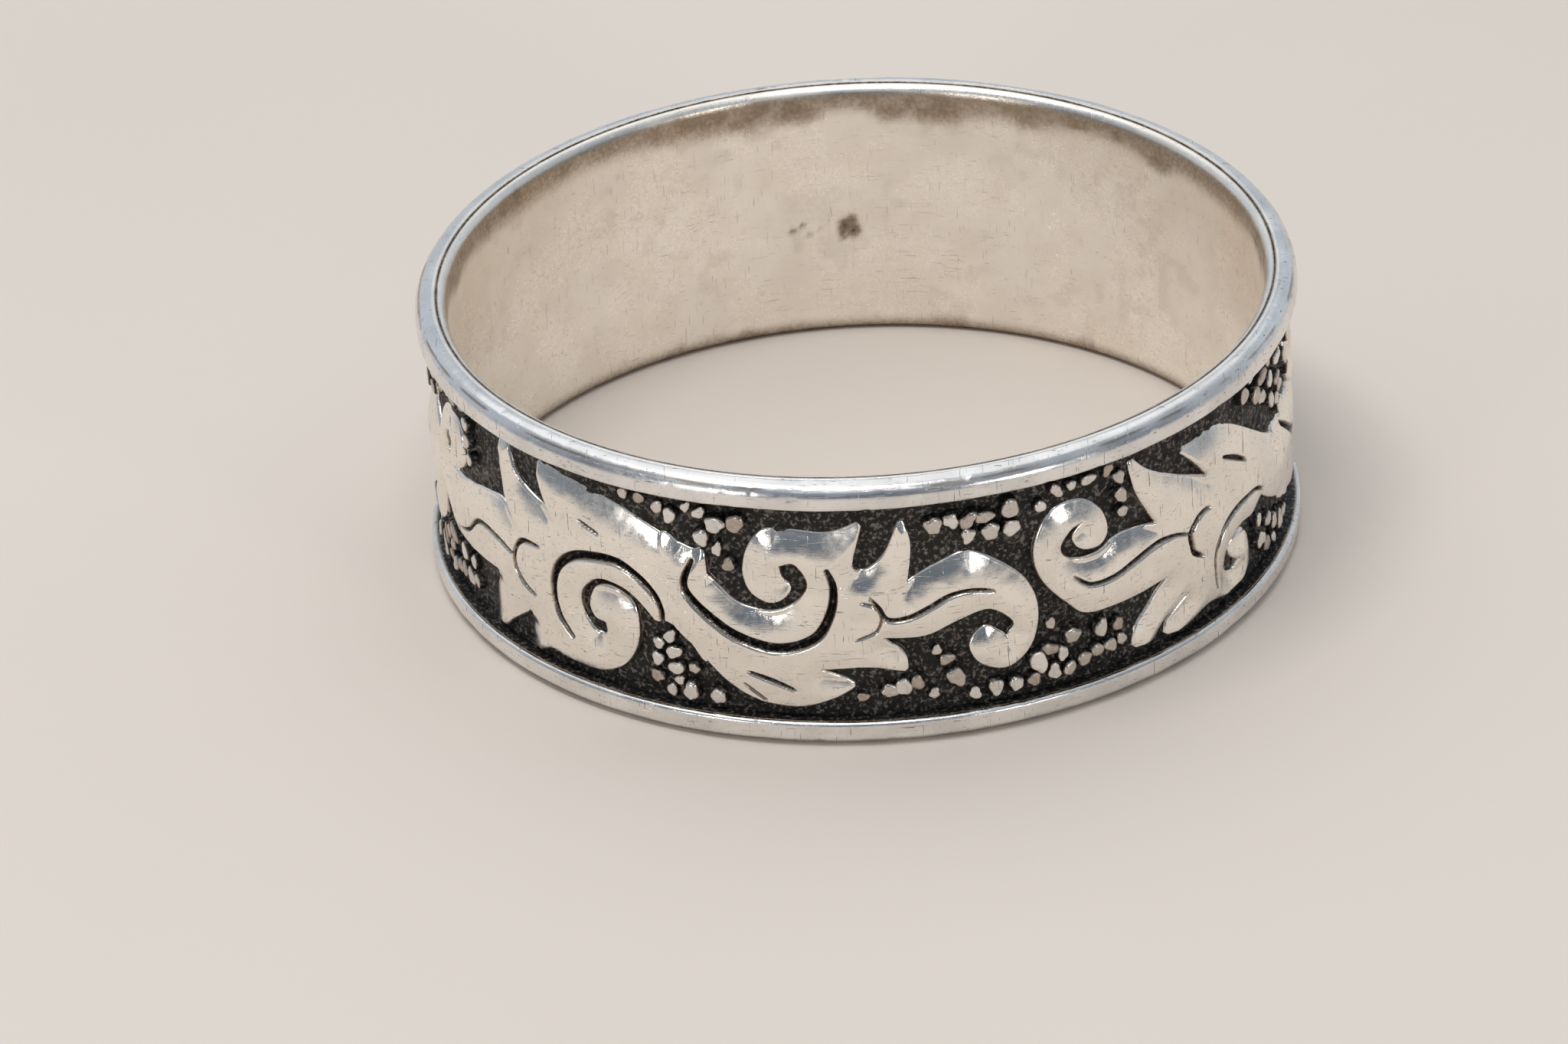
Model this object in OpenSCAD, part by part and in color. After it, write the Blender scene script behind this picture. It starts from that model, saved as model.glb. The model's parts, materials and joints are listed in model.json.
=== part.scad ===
// Scroll-relief wedding band, built up from a plain liner, two rim wires, applied scroll pieces
// and small granules.
// The ring lies flat: Z is the axis of the finger hole, Z = 0 is the face that it rests on,
// and -Y is the front, where a complete scroll is centred. The strip closes at the back, at +Y.

/* [Band] */
// Radius of the finger hole
inner_radius = 9.5; // [7.5:0.05:12]
// Width of the band along the finger
band_width = 6.7; // [5:0.1:9]
// Thickness of the liner under the pattern
liner_thickness = 0.35; // [0.25:0.05:0.8]
// Rounding of the liner's inner edges
lip_round = 0.15; // [0.05:0.01:0.22]

/* [Rim wires] */
// Width of each rim wire along the finger
rim_width = 0.62; // [0.4:0.02:0.9]
// How far the rim wires stand above the liner
rim_height = 0.4; // [0.3:0.02:0.7]
// Rounding of the rim wires' outer edges, away from the pattern
rim_shoulder = 0.26; // [0.1:0.02:0.3]
// Rounding of the rim wires' corners beside the pattern
rim_round = 0.1; // [0.05:0.01:0.1]

/* [Relief] */
// How far the scrolls stand above the liner
relief_height = 0.28; // [0.15:0.01:0.4]
// Angle from one scroll's centre to the next
scroll_pitch = 49.75; // [45:0.05:50]
// Number of scrolls around the band
scroll_count = 7; // [1:2:7]
// Smallest gap between a scroll and a rim wire
rim_gap = 0.06; // [0.03:0.01:0.2]
// Size of the granules compared with the drawn ones
granule_scale = 1; // [0.5:0.05:1.05]
// Height of a granule compared with its radius
granule_rise = 0.9; // [0.5:0.05:1]

/* [Closing joint] */
// Width of the solder that closes the strip at the back
solder_width = 0.12; // [0.06:0.01:0.3]

/* [Hidden] */
SCROLLS = [for (k = [1:scroll_count]) str("scroll_", k)];
UPPER_GRANULES = [for (k = [1:scroll_count]) str("upper_granules_", k)];
LOWER_GRANULES = [for (k = [1:scroll_count]) str("lower_granules_", k)];

$fn = 180;
ground_radius = inner_radius + liner_thickness;
rim_radius = ground_radius + rim_height;
relief_radius = ground_radius + relief_height;
mid_height = band_width / 2;
field_half = mid_height - rim_width;

// The pattern is drawn flat, as [along, up] in millimetres from the middle of each scroll.
// DRAWN_PITCH and DRAWN_HALF are the drawing's own pitch and half height.
DRAWN_PITCH = 8.8;
DRAWN_HALF = 2.65;
up_scale = (field_half - rim_gap) / DRAWN_HALF;
along_scale = ground_radius * scroll_pitch * PI / 180 / DRAWN_PITCH;
// Granules stay round, and fit the smaller of the two scales
granule_fit = granule_scale * min(up_scale, along_scale);
// Where one scroll's S-shaped stem is cut and butted against the next
LEADING_CUT = 4.3;
TRAILING_CUT = LEADING_CUT - DRAWN_PITCH;
STEPS = 3;

// A third number of 1 marks a sharp corner of an outline.
// Outlines start and end beyond their cut; the two ends of a joint are drawn at the same height.
LEFT_OUTLINE = [
    [5.0, 1.2], [4.6, 1.35], [3.8, 1.65], [2.8, 2.02], [1.8, 2.24], [0.8, 2.38], [0.2, 2.5, 1],
    [0.35, 1.9], [0.65, 1.3, 1], [0.1, 1.42], [-0.5, 1.75], [-0.85, 2.5, 1], [-1.25, 2.58, 1],
    [-1.12, 1.8], [-0.98, 1.1], [-0.69, 0.6, 1], [-1.3, 0.85], [-2.2, 0.7], [-3.0, 0.5],
    [-3.6, 0.46], [-4.1, 0.6], [-4.3, 0.95], [-4.08, 1.28], [-3.78, 1.38, 1],
    [-3.98, 1.08], [-3.9, 0.78], [-3.5, 0.63], [-3.15, 0.74], [-3.0, 1.05],
    [-3.2, 1.6], [-3.7, 1.92], [-4.4, 1.85], [-4.85, 1.35], [-4.98, 0.7],
    [-4.75, 0.1], [-4.25, -0.55], [-3.6, -1.0], [-2.6, -1.1], [-1.4, -1.05, 1],
    [-1.65, -1.6], [-1.85, -2.5, 1], [-1.3, -2.56, 1], [-0.9, -2.2], [-0.15, -1.65, 1],
    [-0.25, -2.1], [-0.38, -2.56, 1], [0.1, -2.6], [0.5, -2.4], [1.1, -2.45], [1.9, -2.45],
    [2.5, -2.25], [2.95, -1.85], [3.2, -1.2], [3.12, -0.5], [2.75, -0.14], [2.3, -0.08],
    [1.92, -0.3], [1.8, -0.75], [2.0, -1.0], [2.28, -1.05, 1], [2.22, -1.38], [1.9, -1.4],
    [1.6, -0.95], [1.65, -0.45], [2.1, 0.0], [2.6, 0.05], [3.1, -0.12], [3.7, -0.7, 1],
    [4.0, -0.62], [4.4, -0.88], [5.0, -1.5]
];
RIGHT_OUTLINE = [
    [5.0, 0.35], [4.5, 0.22], [4.0, 0.25], [3.4, 0.5], [2.6, 1.0], [1.5, 1.7], [0.6, 2.08], [-0.2, 2.0],
    [-0.95, 2.1, 1], [-0.4, 1.65], [0.14, 1.05, 1], [-0.8, 1.45], [-1.7, 1.95],
    [-2.26, 2.5, 1], [-2.36, 2.2], [-2.2, 1.5], [-1.66, 0.6, 1], [-2.6, 0.66],
    [-3.3, 0.46], [-4.0, 0.5], [-4.28, 0.85], [-4.05, 1.22], [-3.75, 1.34, 1],
    [-3.98, 1.0], [-3.8, 0.68], [-3.3, 0.62], [-3.0, 0.9], [-3.15, 1.5],
    [-3.7, 1.9], [-4.4, 1.85], [-4.85, 1.35], [-4.98, 0.7], [-4.75, 0.05],
    [-4.2, -0.6], [-3.7, -1.0], [-2.6, -1.05], [-1.4, -0.95, 1], [-1.9, -1.52],
    [-2.3, -1.95], [-2.42, -2.5, 1], [-1.75, -2.45, 1], [-1.4, -2.0], [-0.69, -1.68, 1],
    [-1.25, -2.1], [-1.42, -2.58, 1], [-0.7, -2.55], [0.1, -2.33], [0.9, -2.5],
    [1.7, -2.42], [2.1, -2.05], [2.1, -1.5], [1.8, -1.12], [1.4, -1.08], [1.12, -1.3],
    [1.18, -1.62], [1.44, -1.78, 1], [1.3, -1.96], [1.0, -1.85], [0.85, -1.5],
    [1.0, -1.1], [1.5, -0.9], [2.1, -0.93], [2.6, -0.72, 1], [3.3, -1.15], [4.0, -1.45],
    [5.0, -1.8]
];
// The parts of the upright scrolls' outline that do not depend on the joint
CURL_AND_LEAF = [
    [-3.5, 0.5], [-3.0, 0.1], [-2.3, 0.02], [-1.7, 0.3],
    [-1.45, 0.75], [-1.7, 1.22], [-2.02, 1.18, 1], [-1.98, 0.9], [-1.78, 0.62], [-2.0, 0.32],
    [-2.4, 0.25], [-2.85, 0.6], [-2.92, 1.3], [-2.5, 2.02], [-1.7, 2.08], [-0.9, 2.03],
    [-0.05, 2.36, 1], [-0.25, 1.7], [-0.36, 1.15], [-0.05, 1.1], [0.35, 1.5], [0.7, 2.28, 1],
    [0.86, 2.24, 1], [0.98, 1.6], [0.86, 0.75, 1], [1.6, 1.1], [2.3, 1.28],
    [3.0, 0.9], [3.65, 0.3], [3.92, -0.5], [3.72, -1.4], [3.1, -1.86],
    [2.4, -1.6], [2.2, -1.08], [2.6, -0.69], [3.0, -0.9], [3.12, -1.06, 1],
    [3.24, -0.7], [2.7, -0.25], [2.0, -0.4], [1.2, -0.7], [0.3, -0.66, 1],
    [0.75, -1.12], [0.84, -1.66, 1], [0.0, -1.42], [-1.15, -1.43, 1], [-0.7, -1.64],
    [-0.3, -1.95, 1], [-1.0, -2.25], [-1.7, -2.46], [-2.6, -2.38], [-3.4, -1.95]
];
HIGH_OUTLINE = concat([[-5.0, 1.6], [-4.2, 1.22]], CURL_AND_LEAF, [[-4.1, -1.22], [-4.85, -0.35]]);
LOW_OUTLINE = concat([[-5.0, 0.3], [-4.2, 0.3]], CURL_AND_LEAF, [[-4.1, -1.72], [-4.85, -1.45]]);

// Each granule is [along, up, radius].
SIDE_UPPER = [
    [-4.75, 2.02, 0.14], [-4.35, 2.33, 0.15], [-3.95, 2.34, 0.13], [-3.52, 2.36, 0.15],
    [-2.98, 2.42, 0.13], [-2.66, 2.12, 0.16], [-2.64, 1.67, 0.17], [-2.58, 1.22, 0.14]
];
LEFT_LEAD = [
    [2.95, 2.42, 0.13], [3.38, 2.4, 0.13], [3.85, 2.28, 0.15]
];
RIGHT_LEAD = [
    [1.9, 2.22, 0.18], [2.35, 2.45, 0.13], [2.42, 1.98, 0.2], [2.92, 2.2, 0.19],
    [2.92, 1.68, 0.18], [3.42, 2.36, 0.15], [3.42, 1.9, 0.2], [3.5, 1.32, 0.17],
    [3.92, 2.2, 0.19], [4.02, 1.62, 0.18], [4.12, 1.05, 0.16]
];
SIDE_LOWER = [
    [-4.6, -1.02, 0.13], [-4.08, -1.44, 0.2], [-3.3, -1.52, 0.19], [-2.84, -1.58, 0.15],
    [-4.32, -1.86, 0.16], [-4.55, -2.26, 0.17], [-4.16, -2.29, 0.16], [-3.78, -2.15, 0.17],
    [-3.42, -2.05, 0.17], [-3.05, -2.06, 0.17], [-2.72, -2.02, 0.14]
];
LEFT_HEEL = [
    [4.0, -1.0, 0.15], [3.7, -1.24, 0.14], [4.08, -1.4, 0.17], [3.66, -1.64, 0.15],
    [4.12, -1.8, 0.18], [3.6, -2.12, 0.16], [4.18, -2.12, 0.13], [3.98, -2.4, 0.14],
    [4.48, -2.32, 0.2]
];
RIGHT_HEEL = [
    [2.6, -1.35, 0.15], [2.66, -1.9, 0.2], [3.2, -1.66, 0.17], [3.1, -2.25, 0.2],
    [3.66, -1.95, 0.18], [3.68, -2.4, 0.14], [4.15, -2.15, 0.2]
];
UPRIGHT_UPPER = [
    [-4.62, 2.15, 0.17], [-4.22, 2.42, 0.12], [-3.9, 2.32, 0.14], [-3.5, 2.12, 0.21],
    [-3.84, 1.74, 0.19], [-3.02, 2.2, 0.22], [-3.5, 1.46, 0.14], [-3.24, 1.1, 0.15],
    [1.48, 2.08, 0.2], [1.9, 2.12, 0.19], [2.29, 2.08, 0.18], [2.68, 2.1, 0.17],
    [3.28, 2.2, 0.21], [2.28, 1.7, 0.18], [2.8, 1.72, 0.21], [3.3, 1.7, 0.19]
];
UNDER_LEAF = [
    [1.45, -1.12, 0.12], [1.68, -1.4, 0.15], [1.87, -1.84, 0.22], [0.34, -2.04, 0.17],
    [0.66, -1.97, 0.19], [0.98, -1.9, 0.16], [-0.28, -2.2, 0.12], [1.36, -2.24, 0.13],
    [2.3, -2.35, 0.15], [2.8, -2.3, 0.19], [3.28, -2.3, 0.18], [3.84, -1.88, 0.23],
    [4.16, -1.66, 0.17], [3.74, -2.34, 0.16]
];
HIGH_HEEL = [
    [-4.24, -1.74, 0.13], [-3.66, -2.35, 0.19]
];
LOW_STEM = [
    [-4.5, 1.3, 0.17], [-4.1, 1.1, 0.13], [-4.45, 0.75, 0.15]
];
LOW_HEEL = [
    [-4.5, -2.15, 0.17], [-4.0, -2.3, 0.16]
];
LEFT_UPPER = concat(SIDE_UPPER, LEFT_LEAD);
LEFT_LOWER = concat(SIDE_LOWER, LEFT_HEEL);
RIGHT_UPPER = concat(SIDE_UPPER, RIGHT_LEAD);
RIGHT_LOWER = concat(SIDE_LOWER, RIGHT_HEEL);
HIGH_UPPER = UPRIGHT_UPPER;
HIGH_LOWER = concat(UNDER_LEAF, HIGH_HEEL);
LOW_UPPER = concat(UPRIGHT_UPPER, LOW_STEM);
LOW_LOWER = concat(UNDER_LEAF, LOW_HEEL);

// Each style is [outline, upper granules, lower granules, where its span starts, where it ends].
STYLES = [
    [RIGHT_OUTLINE, RIGHT_UPPER, RIGHT_LOWER, -DRAWN_PITCH, LEADING_CUT],
    [LOW_OUTLINE, LOW_UPPER, LOW_LOWER, TRAILING_CUT, DRAWN_PITCH],
    [LEFT_OUTLINE, LEFT_UPPER, LEFT_LOWER, -DRAWN_PITCH, LEADING_CUT],
    [HIGH_OUTLINE, HIGH_UPPER, HIGH_LOWER, TRAILING_CUT, DRAWN_PITCH]
];
FRONT_STYLE = 3;

function corner(p) = len(p) > 2 && p[2] == 1;
function flat(p) = [p[0], p[1]];
// Tangent at b, for the span that goes on to c or comes from a
function slope(a, b, c, along) = corner(b) ? along : (flat(c) - flat(a)) / 2;
function hermite(p, q, u, v, f) =
    (2 * pow(f, 3) - 3 * pow(f, 2) + 1) * p + (pow(f, 3) - 2 * pow(f, 2) + f) * u
    + (3 * pow(f, 2) - 2 * pow(f, 3)) * q + (pow(f, 3) - pow(f, 2)) * v;
// A closed curve through all the points
function smooth(points) = let (n = len(points)) [
    for (i = [0:n - 1])
        let (a = points[(i + n - 1) % n], b = points[i], c = points[(i + 1) % n],
             d = points[(i + 2) % n], chord = flat(c) - flat(b))
        for (j = [0:STEPS - 1])
            hermite(flat(b), flat(c), slope(a, b, c, chord), slope(b, c, d, chord), j / STEPS)
];

// Angle around the band of a place on the drawing
function around(t) = t * scroll_pitch / DRAWN_PITCH;
// Places on the drawing, seen square on from the scroll's middle
function seen(points) = [
    for (p = points) [ground_radius * sin(around(p[0])), mid_height + p[1] * up_scale]
];
// How many places a scroll stands from the front one, and its style
function place(i) = i - (scroll_count - 1) / 2;
function style(i) = STYLES[(place(i) + FRONT_STYLE + len(STYLES)) % len(STYLES)];

module liner_profile() {
    translate([inner_radius + lip_round, lip_round])
        circle(r = lip_round);
    translate([inner_radius + lip_round, band_width - lip_round])
        circle(r = lip_round);
    translate([inner_radius, lip_round])
        square([liner_thickness, band_width - 2 * lip_round]);
    translate([inner_radius + lip_round, 0])
        square([liner_thickness - lip_round, band_width]);
}

// The lower rim wire, with its shoulder at the bottom
module rim_profile() {
    translate([ground_radius, 0])
        square([rim_height - rim_shoulder, rim_width]);
    translate([ground_radius, rim_shoulder])
        square([rim_height - rim_round, rim_width - rim_shoulder]);
    translate([ground_radius, rim_shoulder])
        square([rim_height, rim_width - rim_shoulder - rim_round]);
    translate([rim_radius - rim_shoulder, rim_shoulder])
        circle(r = rim_shoulder);
    translate([rim_radius - rim_round, rim_width - rim_round])
        circle(r = rim_round);
}

module lower_rim_ring() {
    rotate_extrude()
        rim_profile();
}

module upper_rim_ring() {
    rotate_extrude()
        translate([0, band_width])
            mirror([0, 1])
                rim_profile();
}

// The slot in the strip that the solder fills
module closing_slot(height) {
    translate([-solder_width / 2, 0, -1])
        cube([solder_width, rim_radius + 1, height + 2]);
}

module liner() {
    color("silver")
        difference() {
            rotate_extrude()
                liner_profile();
            closing_slot(band_width);
        }
}

module upper_rim() {
    color("gainsboro")
        difference() {
            upper_rim_ring();
            closing_slot(band_width);
        }
}

module lower_rim() {
    color("gainsboro")
        difference() {
            lower_rim_ring();
            closing_slot(band_width);
        }
}

module solder_joint() {
    color("lightgray")
        intersection() {
            union() {
                rotate_extrude()
                    liner_profile();
                upper_rim_ring();
                lower_rim_ring();
            }
            closing_slot(band_width);
        }
}

// The space between the liner and the tops of the scrolls
module relief_shell(top_radius) {
    difference() {
        cylinder(h = band_width, r = top_radius);
        translate([0, 0, -1])
            cylinder(h = band_width + 2, r = ground_radius);
    }
}

// The wedge of the band that one scroll may fill
module scroll_wedge(from, to) {
    reach = 2 * rim_radius;
    linear_extrude(band_width)
        polygon([[0, 0], reach * [sin(from), -cos(from)], reach * [sin(to), -cos(to)]]);
}

module scroll(i) {
    color("lightsteelblue")
        rotate([0, 0, place(i) * scroll_pitch])
            intersection() {
                rotate([90, 0, 0])
                    linear_extrude(rim_radius)
                        polygon(seen(smooth(style(i)[0])));
                relief_shell(relief_radius);
                scroll_wedge(around(style(i)[3]), around(style(i)[4]));
            }
}

module granule(p) {
    radius = p[2] * granule_fit;
    sink = radius * (1 - granule_rise);
    rotate([0, 0, around(p[0])])
        translate([0, -ground_radius + sink, mid_height + p[1] * up_scale])
            sphere(r = radius, $fn = 32);
}

module granules(i, places) {
    color("slategray")
        rotate([0, 0, place(i) * scroll_pitch])
            difference() {
                union() {
                    for (p = places)
                        granule(p);
                }
                cylinder(h = band_width, r = ground_radius);
            }
}

module upper_granules(i) {
    granules(i, style(i)[1]);
}

module lower_granules(i) {
    granules(i, style(i)[2]);
}

liner();
upper_rim();
lower_rim();
solder_joint();
for (i = [0:scroll_count - 1]) {
    scroll(i);
    upper_granules(i);
    lower_granules(i);
}
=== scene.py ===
"""Looks of the scroll-relief wedding band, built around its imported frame."""

import functools
import json
import math

import bmesh
import bpy
import numpy as np
from mathutils import Matrix, Vector


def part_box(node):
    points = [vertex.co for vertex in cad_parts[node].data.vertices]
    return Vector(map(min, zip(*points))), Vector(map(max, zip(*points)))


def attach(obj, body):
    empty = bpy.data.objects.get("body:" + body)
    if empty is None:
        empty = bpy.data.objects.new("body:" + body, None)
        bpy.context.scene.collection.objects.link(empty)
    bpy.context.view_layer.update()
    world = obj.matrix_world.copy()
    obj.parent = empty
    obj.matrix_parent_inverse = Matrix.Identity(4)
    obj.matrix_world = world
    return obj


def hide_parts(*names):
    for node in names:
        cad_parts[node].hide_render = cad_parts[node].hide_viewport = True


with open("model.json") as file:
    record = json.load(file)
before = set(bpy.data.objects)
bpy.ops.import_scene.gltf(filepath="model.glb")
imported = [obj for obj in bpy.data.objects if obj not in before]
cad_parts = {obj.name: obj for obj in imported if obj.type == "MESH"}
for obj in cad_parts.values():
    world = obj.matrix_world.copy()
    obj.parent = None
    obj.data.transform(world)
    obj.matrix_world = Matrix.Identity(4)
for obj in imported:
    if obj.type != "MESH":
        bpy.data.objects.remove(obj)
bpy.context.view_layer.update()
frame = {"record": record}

MM = 0.001

# ---------------------------------------------------------------- sizes, in millimetres
MOUNTS = {m["name"]: m for m in frame["record"]["mounts"]}
INNER = MOUNTS["finger_bore"]["dims"]["r_mm"]
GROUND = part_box("liner")[1].x / MM
RIM_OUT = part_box("upper_rim")[1].x / MM
BAND_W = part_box("liner")[1].z / MM
RIM_W = BAND_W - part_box("upper_rim")[0].z / MM
RELIEF = -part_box("scroll_4")[0].y / MM
SOLDER_W = (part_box("solder_joint")[1].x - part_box("solder_joint")[0].x) / MM
MID = BAND_W / 2

PITCH_DEG = 49.75
DRAWN_PITCH = 8.8
DRAWN_HALF = 2.65
RIM_GAP = 0.06
UP = (MID - RIM_W - RIM_GAP) / DRAWN_HALF
ALONG_DEG = PITCH_DEG / DRAWN_PITCH
SCROLL_COUNT = 7
LEADING_CUT = 4.3
TRAILING_CUT = LEADING_CUT - DRAWN_PITCH

# ---------------------------------------------------------------- the drawn pattern
# Outlines are [along, up] in millimetres from each scroll's middle; a third number of 1 is a
# sharp corner. They are the outlines of the CAD scrolls.
LEFT_OUTLINE = [
    [5.0, 1.2], [4.6, 1.35], [3.8, 1.65], [2.8, 2.02], [1.8, 2.24], [0.8, 2.38], [0.2, 2.5, 1],
    [0.35, 1.9], [0.65, 1.3, 1], [0.1, 1.42], [-0.5, 1.75], [-0.85, 2.5, 1], [-1.25, 2.58, 1],
    [-1.12, 1.8], [-0.98, 1.1], [-0.69, 0.6, 1], [-1.3, 0.85], [-2.2, 0.7], [-3.0, 0.5],
    [-3.6, 0.46], [-4.1, 0.6], [-4.3, 0.95], [-4.08, 1.28], [-3.78, 1.38, 1],
    [-3.98, 1.08], [-3.9, 0.78], [-3.5, 0.63], [-3.15, 0.74], [-3.0, 1.05],
    [-3.2, 1.6], [-3.7, 1.92], [-4.4, 1.85], [-4.85, 1.35], [-4.98, 0.7],
    [-4.75, 0.1], [-4.25, -0.55], [-3.6, -1.0], [-2.6, -1.1], [-1.4, -1.05, 1],
    [-1.65, -1.6], [-1.85, -2.5, 1], [-1.3, -2.56, 1], [-0.9, -2.2], [-0.15, -1.65, 1],
    [-0.25, -2.1], [-0.38, -2.56, 1], [0.1, -2.6], [0.5, -2.4], [1.1, -2.45], [1.9, -2.45],
    [2.5, -2.25], [2.95, -1.85], [3.2, -1.2], [3.12, -0.5], [2.75, -0.14], [2.3, -0.08],
    [1.92, -0.3], [1.8, -0.75], [2.0, -1.0], [2.28, -1.05, 1], [2.22, -1.38], [1.9, -1.4],
    [1.6, -0.95], [1.65, -0.45], [2.1, 0.0], [2.6, 0.05], [3.1, -0.12], [3.7, -0.7, 1],
    [4.0, -0.62], [4.4, -0.88], [5.0, -1.5],
]
RIGHT_OUTLINE = [
    [5.0, 0.35], [4.5, 0.22], [4.0, 0.25], [3.4, 0.5], [2.6, 1.0], [1.5, 1.7], [0.6, 2.08],
    [-0.2, 2.0], [-0.95, 2.1, 1], [-0.4, 1.65], [0.14, 1.05, 1], [-0.8, 1.45], [-1.7, 1.95],
    [-2.26, 2.5, 1], [-2.36, 2.2], [-2.2, 1.5], [-1.66, 0.6, 1], [-2.6, 0.66],
    [-3.3, 0.46], [-4.0, 0.5], [-4.28, 0.85], [-4.05, 1.22], [-3.75, 1.34, 1],
    [-3.98, 1.0], [-3.8, 0.68], [-3.3, 0.62], [-3.0, 0.9], [-3.15, 1.5],
    [-3.7, 1.9], [-4.4, 1.85], [-4.85, 1.35], [-4.98, 0.7], [-4.75, 0.05],
    [-4.2, -0.6], [-3.7, -1.0], [-2.6, -1.05], [-1.4, -0.95, 1], [-1.9, -1.52],
    [-2.3, -1.95], [-2.42, -2.5, 1], [-1.75, -2.45, 1], [-1.4, -2.0], [-0.69, -1.68, 1],
    [-1.25, -2.1], [-1.42, -2.58, 1], [-0.7, -2.55], [0.1, -2.33], [0.9, -2.5],
    [1.7, -2.42], [2.1, -2.05], [2.1, -1.5], [1.8, -1.12], [1.4, -1.08], [1.12, -1.3],
    [1.18, -1.62], [1.44, -1.78, 1], [1.3, -1.96], [1.0, -1.85], [0.85, -1.5],
    [1.0, -1.1], [1.5, -0.9], [2.1, -0.93], [2.6, -0.72, 1], [3.3, -1.15], [4.0, -1.45],
    [5.0, -1.8],
]
CURL_AND_LEAF = [
    [-3.5, 0.5], [-3.0, 0.1], [-2.3, 0.02], [-1.7, 0.3],
    [-1.45, 0.75], [-1.7, 1.22], [-2.02, 1.18, 1], [-1.98, 0.9], [-1.78, 0.62], [-2.0, 0.32],
    [-2.4, 0.25], [-2.85, 0.6], [-2.92, 1.3], [-2.5, 2.02], [-1.7, 2.08], [-0.9, 2.03],
    [-0.05, 2.36, 1], [-0.25, 1.7], [-0.36, 1.15], [-0.05, 1.1], [0.35, 1.5], [0.7, 2.28, 1],
    [0.86, 2.24, 1], [0.98, 1.6], [0.86, 0.75, 1], [1.6, 1.1], [2.3, 1.28],
    [3.0, 0.9], [3.65, 0.3], [3.92, -0.5], [3.72, -1.4], [3.1, -1.86],
    [2.4, -1.6], [2.2, -1.08], [2.6, -0.69], [3.0, -0.9], [3.12, -1.06, 1],
    [3.24, -0.7], [2.7, -0.25], [2.0, -0.4], [1.2, -0.7], [0.3, -0.66, 1],
    [0.75, -1.12], [0.84, -1.66, 1], [0.0, -1.42], [-1.15, -1.43, 1], [-0.7, -1.64],
    [-0.3, -1.95, 1], [-1.0, -2.25], [-1.7, -2.46], [-2.6, -2.38], [-3.4, -1.95],
]
HIGH_OUTLINE = [[-5.0, 1.6], [-4.2, 1.22]] + CURL_AND_LEAF + [[-4.1, -1.22], [-4.85, -0.35]]
LOW_OUTLINE = [[-5.0, 0.3], [-4.2, 0.3]] + CURL_AND_LEAF + [[-4.1, -1.72], [-4.85, -1.45]]

# Cut lines: (half width at the middle, depth, points along the line)
LEFT_LINES = [
    (0.09, 0.24, [[1.31, -1.72], [0.95, -1.25], [0.82, -0.6], [1.0, 0.0], [1.5, 0.45],
                  [2.2, 0.64], [2.8, 0.67], [3.3, 0.45], [3.7, 0.1], [3.88, -0.3], [3.85, -0.66]]),
    (0.055, 0.12, [[-3.2, -0.8], [-2.7, -0.62], [-2.2, -0.17], [-1.7, -0.04], [-1.2, -0.1],
                   [-0.55, -0.3]]),
    (0.06, 0.14, [[0.4, 0.28], [-0.1, 0.25], [-0.42, 0.03], [-0.54, -0.3], [-0.48, -0.62],
                  [-0.2, -0.9], [0.16, -1.06]]),
    (0.04, 0.1, [[1.71, 1.45], [2.3, 1.25]]),
]
RIGHT_LINES = [
    (0.06, 0.18, [[0.44, -2.02], [0.34, -1.6], [0.31, -1.2], [0.42, -0.85], [0.7, -0.5],
                  [1.1, -0.32], [1.6, -0.27], [2.2, -0.32], [2.6, -0.52]]),
    (0.055, 0.12, [[-4.0, 0.05], [-3.6, -0.25], [-3.0, -0.27], [-2.4, -0.1], [-1.8, 0.05],
                   [-1.2, 0.08], [-0.65, -0.1]]),
    (0.07, 0.15, [[0.08, 0.25], [-0.15, 0.27], [-0.4, 0.15], [-0.62, -0.1], [-0.58, -0.4],
                  [-0.5, -0.65], [-0.2, -0.88]]),
    (0.055, 0.13, [[0.7, 1.25], [1.2, 1.0], [1.7, 0.7]]),
]
LEAF_LINES = [
    (0.055, 0.13, [[-0.02, 0.42], [0.18, 0.15], [0.35, -0.14], [0.8, -0.15], [1.3, 0.05],
                   [1.8, 0.3], [2.3, 0.36], [2.8, 0.25]]),
    (0.035, 0.07, [[-0.25, 0.32], [0.08, 0.2], [0.22, -0.1], [0.14, -0.38], [0.0, -0.5],
                   [-0.38, -0.64]]),
    (0.055, 0.13, [[-2.88, -1.55], [-2.3, -1.75], [-1.8, -1.97]]),
    (0.035, 0.08, [[-3.02, -1.86], [-2.5, -2.3]]),
]
CURL_LINE = [[-3.5, -0.42], [-3.0, -0.7], [-2.3, -0.88], [-1.7, -0.8], [-1.2, -0.5],
             [-0.9, 0.1], [-0.83, 0.7], [-0.96, 1.12]]
HIGH_LINES = LEAF_LINES + [(0.1, 0.25, [[-4.15, 1.05], [-4.32, 0.5], [-4.1, 0.1]] + CURL_LINE)]
LOW_LINES = LEAF_LINES + [(0.1, 0.25, [[-4.2, 0.12]] + CURL_LINE)]

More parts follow.
